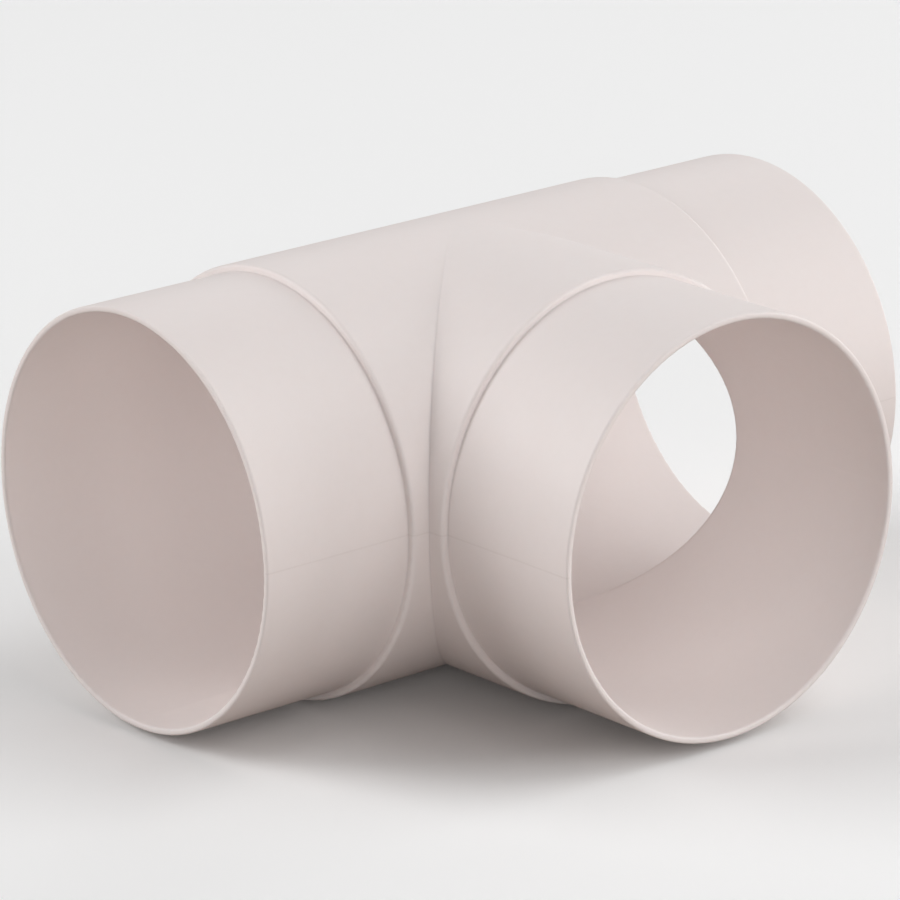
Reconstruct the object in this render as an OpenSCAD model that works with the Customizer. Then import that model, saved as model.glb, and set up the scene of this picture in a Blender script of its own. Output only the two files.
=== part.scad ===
// Equal tee for round ventilation duct, injection moulded in one piece.
// A straight run with two spigots and a branch with one spigot, square to it.
// Each spigot slides inside a duct, whose end stops against the shoulder of the body.
// Origin where the three centre lines meet: run along X, branch along -Y, up along +Z.

/* [Spigots] */
// Outside diameter of each spigot, a slide fit in 100 mm round duct
spigot_od = 99.6; // [60:0.1:160]
// Length of each spigot, from its shoulder to its rim
spigot_length = 40.5; // [20:0.5:80]
// Wall of each spigot at its rim
mouth_wall = 1.5; // [1:0.1:4]
// Radius of the two edges of each rim
rim_round = 0.4; // [0.1:0.05:0.6]

/* [Body] */
// Height of the shoulder above the spigot, which is the wall of the duct that it stops
shoulder_step = 1.7; // [1:0.1:5]
// Radius of the outer edge of each shoulder
shoulder_round = 0.8; // [0.2:0.1:1]
// Length of the run's body between the branch and each shoulder
run_collar = 4.5; // [2:0.5:60]
// Length of the branch's body between the run and its shoulder
branch_collar = 4.5; // [2:0.5:60]

/* [Bores] */
// Draft of the run's bore, which narrows from both rims to the middle, in degrees
core_draft = 1.5; // [0.5:0.1:3]
// How much smaller in radius the branch's bore is than the run's where they meet
core_seat = 0.6; // [0.3:0.1:2]

/* [Hidden] */
$fn = 144;
plastic = [0.87, 0.83, 0.82];
// How far a cutter runs past the face that it cuts
overcut = 2;

spigot_r = spigot_od / 2;
body_r = spigot_r + shoulder_step;
run_shoulder = body_r + run_collar;
run_reach = run_shoulder + spigot_length;
branch_shoulder = body_r + branch_collar;
branch_reach = branch_shoulder + spigot_length;
mouth_r = spigot_r - mouth_wall;
run_throat_r = mouth_r - run_reach * tan(core_draft);
branch_throat_r = run_throat_r - core_seat;
edge_r = min(rim_round, 0.45 * mouth_wall);
crown_r = min(shoulder_round, 0.9 * shoulder_step);

// What a round of radius r takes off an outer corner at the origin, solid towards -X and -Y
module round_off(r) {
    difference() {
        translate([-r, -r]) square(r + overcut);
        translate([-r, -r]) circle(r);
    }
}

// Half section of one arm: radius along X, distance from the centre along Y
module arm_section(shoulder, reach) {
    difference() {
        square([body_r, shoulder]);
        translate([body_r, shoulder]) round_off(crown_r);
    }
    difference() {
        square([spigot_r, reach]);
        translate([spigot_r, reach]) round_off(edge_r);
    }
}

// Half section of what an arm's bore takes away, with the rounded inner edge of its rim
module bore_section(throat_r, reach) {
    slope = (mouth_r - throat_r) / reach;
    polygon([
        [0, 0],
        [throat_r, 0],
        [mouth_r + slope * overcut, reach + overcut],
        [0, reach + overcut]
    ]);
    difference() {
        translate([mouth_r - edge_r, reach - edge_r]) square([2 * edge_r, edge_r + overcut]);
        translate([mouth_r + edge_r, reach - edge_r]) circle(edge_r);
    }
}

module both_ways() {
    children();
    mirror([0, 1]) children();
}

module along_run() {
    rotate([0, 90, 0]) rotate_extrude() children();
}

module along_branch() {
    rotate([90, 0, 0]) rotate_extrude() children();
}

module duct_tee() {
    color(plastic)
    difference() {
        union() {
            along_run() both_ways() arm_section(run_shoulder, run_reach);
            along_branch() arm_section(branch_shoulder, branch_reach);
        }
        along_run() both_ways() bore_section(run_throat_r, run_reach);
        along_branch() bore_section(branch_throat_r, branch_reach);
    }
}

duct_tee();
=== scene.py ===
import bpy
import math
from mathutils import Matrix, Vector


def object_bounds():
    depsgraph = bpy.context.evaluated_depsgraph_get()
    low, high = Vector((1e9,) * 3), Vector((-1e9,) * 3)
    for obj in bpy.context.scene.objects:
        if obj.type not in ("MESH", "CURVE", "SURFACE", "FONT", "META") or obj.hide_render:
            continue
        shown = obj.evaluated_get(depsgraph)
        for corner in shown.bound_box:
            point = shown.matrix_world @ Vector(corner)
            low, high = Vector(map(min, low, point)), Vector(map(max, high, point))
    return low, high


# Outside radius of the spigots, in metres, as the source of the tee has it
SPIGOT_R = 0.0498

# The camera at the photograph's angle: bearing, height and roll in degrees, and its place
BEARING = 39.92
ELEVATION = 17.84
ROLL = -0.87
CAMERA_AT = (-0.8393, -1.0008, 0.4163)
LENS = 232.05

# The plastic, from its cleanest to its dustiest tint, and the painted shade in its mould line
WARM_WHITE = (0.860, 0.790, 0.772, 1)
DUSTY_WHITE = (0.825, 0.750, 0.730, 1)
LINE_SHADE = (0.62, 0.54, 0.51, 1)
# Half the width of the mould line, from its core to where it has faded, in metres
LINE_CORE = 0.00008
LINE_FADE = 0.00030

# The floor as the camera sees it, and as it colours the light that it throws back
FLOOR_SEEN = (0.97, 0.97, 0.97, 1)
FLOOR_BOUNCE = (0.47, 0.42, 0.39, 1)
FLOOR_RADIUS = 6
FLOOR_SIDES = 64

# The softboxes are equal squares at one distance from the tee, in metres
BOX_SIZE = 1.8
BOX_DISTANCE = 2.6
# Each one's name, its bearing and height in degrees, and its power in watts
SOFTBOXES = (
    ("left_box", -50, 28, 48),
    ("right_box", 85, 6, 35),
    ("corner_box", 130, 6, 28),
    ("near_box", -140, 6, 22),
    ("high_box", 130, 55, 22),
    ("front_box", 175, 28, 16),
    ("back_box", 40, 28, 9),
)
SKY_STRENGTH = 0.05


def new_material(name):
    mat = bpy.data.materials.new(name)
    mat.use_nodes = True
    mat.node_tree.nodes.clear()
    return mat, mat.node_tree


class Maker:
    """Short calls for building a material's nodes."""

    def __init__(self, tree):
        self.tree = tree

    def add(self, kind, inputs=(), **settings):
        node = self.tree.nodes.new(kind)
        for key, value in settings.items():
            setattr(node, key, value)
        for key, value in dict(inputs).items():
            self.put(node.inputs[key], value)
        return node

    def put(self, socket, value):
        if isinstance(value, bpy.types.NodeSocket):
            self.tree.links.new(value, socket)
        else:
            socket.default_value = value

    def math(self, operation, *values):
        node = self.add("ShaderNodeMath", operation=operation)
        for socket, value in zip(node.inputs, values):
            self.put(socket, value)
        return node.outputs[0]

    def mix(self, share, a, b):
        node = self.add("ShaderNodeMix", data_type="RGBA")
        self.put(node.inputs["Factor"], share)
        self.put(node.inputs["A"], a)
        self.put(node.inputs["B"], b)
        return node.outputs["Result"]

    def noise(self, vector, scale, detail=2.0, rough=0.5):
        node = self.add("ShaderNodeTexNoise", {"Vector": vector, "Scale": scale, "Detail": detail, "Roughness": rough})
        return node.outputs["Fac"]

    def ramp(self, value, low, high):
        node = self.add("ShaderNodeMapRange", {"Value": value, "From Min": low, "From Max": high})
        node.interpolation_type = "SMOOTHSTEP"
        return node.outputs["Result"]

    def radius(self, a, b):
        return self.math("SQRT", self.math("ADD", self.math("MULTIPLY", a, a), self.math("MULTIPLY", b, b)))


def plastic():
    """Injection-moulded PVC: satin, slightly mottled, with the line where the mould halves met, darkened there with
    painted shade.
    """
    mat, tree = new_material("moulded_pvc")
    n = Maker(tree)
    place = n.add("ShaderNodeTexCoord").outputs["Object"]
    x, y, z = n.add("ShaderNodeSeparateXYZ", {"Vector": place}).outputs

    # One on the outside of the tee, and zero in its bores
    edge = SPIGOT_R - 0.0008
    beyond_run = n.math("GREATER_THAN", n.radius(y, z), edge)
    beyond_branch = n.math("MAXIMUM", n.math("GREATER_THAN", n.radius(x, z), edge), n.math("GREATER_THAN", y, 0.0))
    outside = n.math("MULTIPLY", beyond_run, beyond_branch)

    # The mould line runs round the outside at mid-height, not quite straight
    waver = n.math("MULTIPLY", n.math("SUBTRACT", n.noise(place, 90.0, 1.0), 0.5), 0.0001)
    height = n.math("ABSOLUTE", n.math("ADD", z, waver))
    line = n.math("MULTIPLY", n.math("SUBTRACT", 1.0, n.ramp(height, LINE_CORE, LINE_FADE)), outside)

    # Slow changes of tint where the melt cooled, and a fine mottle
    cloud = n.ramp(n.noise(place, 14.0, 2.0), 0.30, 0.72)
    mottle = n.ramp(n.noise(place, 420.0, 3.0, 0.6), 0.25, 0.80)
    tint = n.math("ADD", n.math("MULTIPLY", cloud, 0.32), n.math("MULTIPLY", mottle, 0.22))
    colour = n.mix(tint, WARM_WHITE, DUSTY_WHITE)
    # Painted shade: the colour is darkened along the mould line, standing in for the shade that falls along it
    colour = n.mix(n.math("MULTIPLY", line, 0.18), colour, LINE_SHADE)

    # The steel of the mould leaves the outside a little glossier than the bores
    sheen = n.ramp(n.noise(place, 60.0, 3.0), 0.2, 0.8)
    rough = n.math("ADD", 0.48, n.math("MULTIPLY", sheen, 0.10))
    rough = n.math("ADD", rough, n.math("MULTIPLY", n.math("SUBTRACT", 1.0, outside), 0.08))

    grain = n.math("MULTIPLY", n.noise(place, 900.0, 4.0, 0.6), 0.25)
    wave = n.noise(place, 45.0, 1.0)
    relief = n.math("ADD", n.math("ADD", grain, wave), n.math("MULTIPLY", line, 0.9))
    soft_edge = n.add("ShaderNodeBevel", {"Radius": 0.0008}, samples=6)
    bump = n.add("ShaderNodeBump", {"Strength": 0.35, "Distance": 0.00006, "Height": relief,
                                    "Normal": soft_edge.outputs["Normal"]})
    shader = n.add("ShaderNodeBsdfPrincipled", {
        "Base Color": colour,
        "Roughness": rough,
        "IOR": 1.53,
        "Normal": bump.outputs["Normal"],
        "Subsurface Weight": 0.06,
        "Subsurface Radius": (1.0, 0.75, 0.65),
        "Subsurface Scale": 0.0025,
    })
    out = n.add("ShaderNodeOutputMaterial")
    tree.links.new(shader.outputs["BSDF"], out.inputs["Surface"])
    return mat


def floor_material():
    """White to the camera, so the background matches the photograph, and darker for the light it throws back."""
    mat, tree = new_material("studio_floor")
    n = Maker(tree)
    seen = n.add("ShaderNodeLightPath").outputs["Is Camera Ray"]
    shader = n.add("ShaderNodeBsdfDiffuse", {"Color": n.mix(seen, FLOOR_BOUNCE, FLOOR_SEEN)})
    out = n.add("ShaderNodeOutputMaterial")
    tree.links.new(shader.outputs["BSDF"], out.inputs["Surface"])
    return mat


def studio_floor(height):
    """A round floor that the tee stands on."""
    angles = (2 * math.pi * k / FLOOR_SIDES for k in range(FLOOR_SIDES))
    ring = [(FLOOR_RADIUS * math.cos(a), FLOOR_RADIUS * math.sin(a), height) for a in angles]
    mesh = bpy.data.meshes.new("studio_floor")
    mesh.from_pydata(ring, [], [list(range(FLOOR_SIDES))])
    mesh.materials.append(floor_material())
    floor = bpy.data.objects.new("studio_floor", mesh)
    bpy.context.collection.objects.link(floor)


def sky(strength):
    """A faint even dome, which the camera sees as plain white."""
    world = bpy.data.worlds.new("studio")
    bpy.context.scene.world = world
    world.use_nodes = True
    tree = world.node_tree
    tree.nodes.clear()
    n = Maker(tree)
    seen = n.add("ShaderNodeLightPath").outputs["Is Camera Ray"]
    light = n.add("ShaderNodeBackground", {"Color": (1, 0.985, 0.975, 1), "Strength": strength})
    white = n.add("ShaderNodeBackground", {"Color": (1, 1, 1, 1), "Strength": 1.0})
    both = n.add("ShaderNodeMixShader")
    tree.links.new(seen, both.inputs[0])
    tree.links.new(light.outputs[0], both.inputs[1])
    tree.links.new(white.outputs[0], both.inputs[2])
    out = n.add("ShaderNodeOutputWorld")
    tree.links.new(both.outputs[0], out.inputs["Surface"])


def softbox(name, bearing, elevation, power):
    """A square lamp that faces the tee. A bearing of 0 is along +Y, and 90 is along +X."""
    b, e = math.radians(bearing), math.radians(elevation)
    away = Vector((math.sin(b) * math.cos(e), math.cos(b) * math.cos(e), math.sin(e)))
    lamp = bpy.data.lights.new(name, "AREA")
    lamp.shape = "SQUARE"
    lamp.size = BOX_SIZE
    lamp.energy = power
    obj = bpy.data.objects.new(name, lamp)
    obj.location = away * BOX_DISTANCE
    obj.rotation_euler = away.to_track_quat("Z", "Y").to_euler()
    obj.visible_camera = False
    bpy.context.collection.objects.link(obj)


def photo_camera():
    cam = bpy.data.cameras.new("photo_camera")
    cam.lens = LENS
    cam.sensor_width = 36
    cam.clip_start = 0.05
    cam.clip_end = 50
    obj = bpy.data.objects.new("photo_camera", cam)
    turn = (Matrix.Rotation(math.radians(-BEARING), 4, "Z")
            @ Matrix.Rotation(math.radians(90 - ELEVATION), 4, "X")
            @ Matrix.Rotation(math.radians(ROLL), 4, "Z"))
    obj.matrix_world = Matrix.Translation(CAMERA_AT) @ turn
    bpy.context.collection.objects.link(obj)
    bpy.context.scene.camera = obj


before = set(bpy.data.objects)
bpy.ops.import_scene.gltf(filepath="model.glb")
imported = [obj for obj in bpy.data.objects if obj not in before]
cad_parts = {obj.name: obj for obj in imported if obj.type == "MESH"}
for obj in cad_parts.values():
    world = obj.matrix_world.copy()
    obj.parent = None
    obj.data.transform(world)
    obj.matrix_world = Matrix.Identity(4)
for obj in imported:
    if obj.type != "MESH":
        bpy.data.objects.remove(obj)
cad_box = [list(corner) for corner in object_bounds()]

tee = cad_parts["duct_tee"]
tee.data.materials.clear()
tee.data.materials.append(plastic())

bpy.context.scene.view_settings.view_transform = "Standard"
studio_floor(cad_box[0][2])
sky(SKY_STRENGTH)
for box in SOFTBOXES:
    softbox(*box)
photo_camera()
